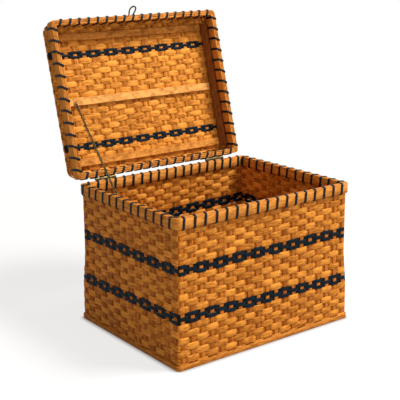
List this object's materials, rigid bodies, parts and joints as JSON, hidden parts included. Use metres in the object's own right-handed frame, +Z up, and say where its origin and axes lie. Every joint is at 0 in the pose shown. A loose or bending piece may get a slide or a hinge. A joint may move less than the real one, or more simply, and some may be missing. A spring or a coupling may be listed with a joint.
{
  "type": "woven basket chest",
  "caption": "Rectangular woven cane chest with lashed rims, dyed bands, a hinged battened lid, a wire lift loop and a stay chain.",
  "frame": {"origin": "centre of the base's underside", "axes": "+X to the right seen from the front, -Y to the front, +Z up; drawn with the lid open"},
  "size_m": [0.459, 0.496, 0.6563],
  "materials": {
    "woven_cane": "woven split cane, satin",
    "split_cane": "split cane strip, satin",
    "navy_cane": "dyed cane, satin",
    "navy_cord": "waxed flat cord",
    "pale_wood": "planed, clear coat",
    "aged_brass": "aged, dull"
  },
  "bodies": {
    "box": {"box_wall": "woven_cane", "box_floor": "woven_cane", "base_strip": "split_cane", "box_upper_band": "navy_cane", "box_lower_band": "navy_cane", "box_outer_hoop": "split_cane", "box_inner_hoop": "split_cane", "box_rim_cane": "split_cane", "box_lashing": "navy_cord", "left_hinge_box_leaf": "aged_brass", "right_hinge_box_leaf": "aged_brass", "left_hinge_pin": "aged_brass", "right_hinge_pin": "aged_brass", "box_hinge_screws": "aged_brass", "chain_box_eye": "aged_brass"},
    "lid": {"lid_shell": "woven_cane", "lid_front_band": "navy_cane", "lid_rear_band": "navy_cane", "lid_outer_hoop": "split_cane", "lid_inner_hoop": "split_cane", "lid_rim_cane": "split_cane", "lid_lashing": "navy_cord", "front_batten": "pale_wood", "middle_batten": "pale_wood", "rear_batten": "pale_wood", "batten_end_block": "pale_wood", "left_end_lath": "split_cane", "right_end_lath": "split_cane", "left_hinge_lid_leaf": "aged_brass", "right_hinge_lid_leaf": "aged_brass", "lid_hinge_screws": "aged_brass", "lift_loop": "aged_brass", "chain_lid_eye": "aged_brass"},
    "chain_lower": {"chain_lower": "aged_brass"},
    "chain_upper": {"chain_upper": "aged_brass"}
  },
  "joints": [
    {"name": "lid_hinge", "type": "hinge", "parent": "box", "child": "lid", "pos_m": [0, 0.181, 0.304], "axis": [1, 0, 0], "range_deg": [0, 105.5], "deforming": ["chain_lower", "chain_upper"]},
    {"name": "chain_lower_swing", "type": "hinge", "parent": "box", "child": "chain_lower", "pos_m": [-0.2084, 0.046, 0.293], "axis": [1, 0, 0], "range_deg": [-136, 0]},
    {"name": "chain_upper_swing", "type": "hinge", "parent": "lid", "child": "chain_upper", "pos_m": [-0.176, 0.25958, 0.45862], "axis": [1, 0, 0], "range_deg": [-49, 0]}
  ],
  "couplings": [
    {"joint": "chain_lower_swing", "follows": "lid_hinge", "ratio": -1.2794},
    {"joint": "chain_upper_swing", "follows": "lid_hinge", "ratio": -0.44619}
  ]
}
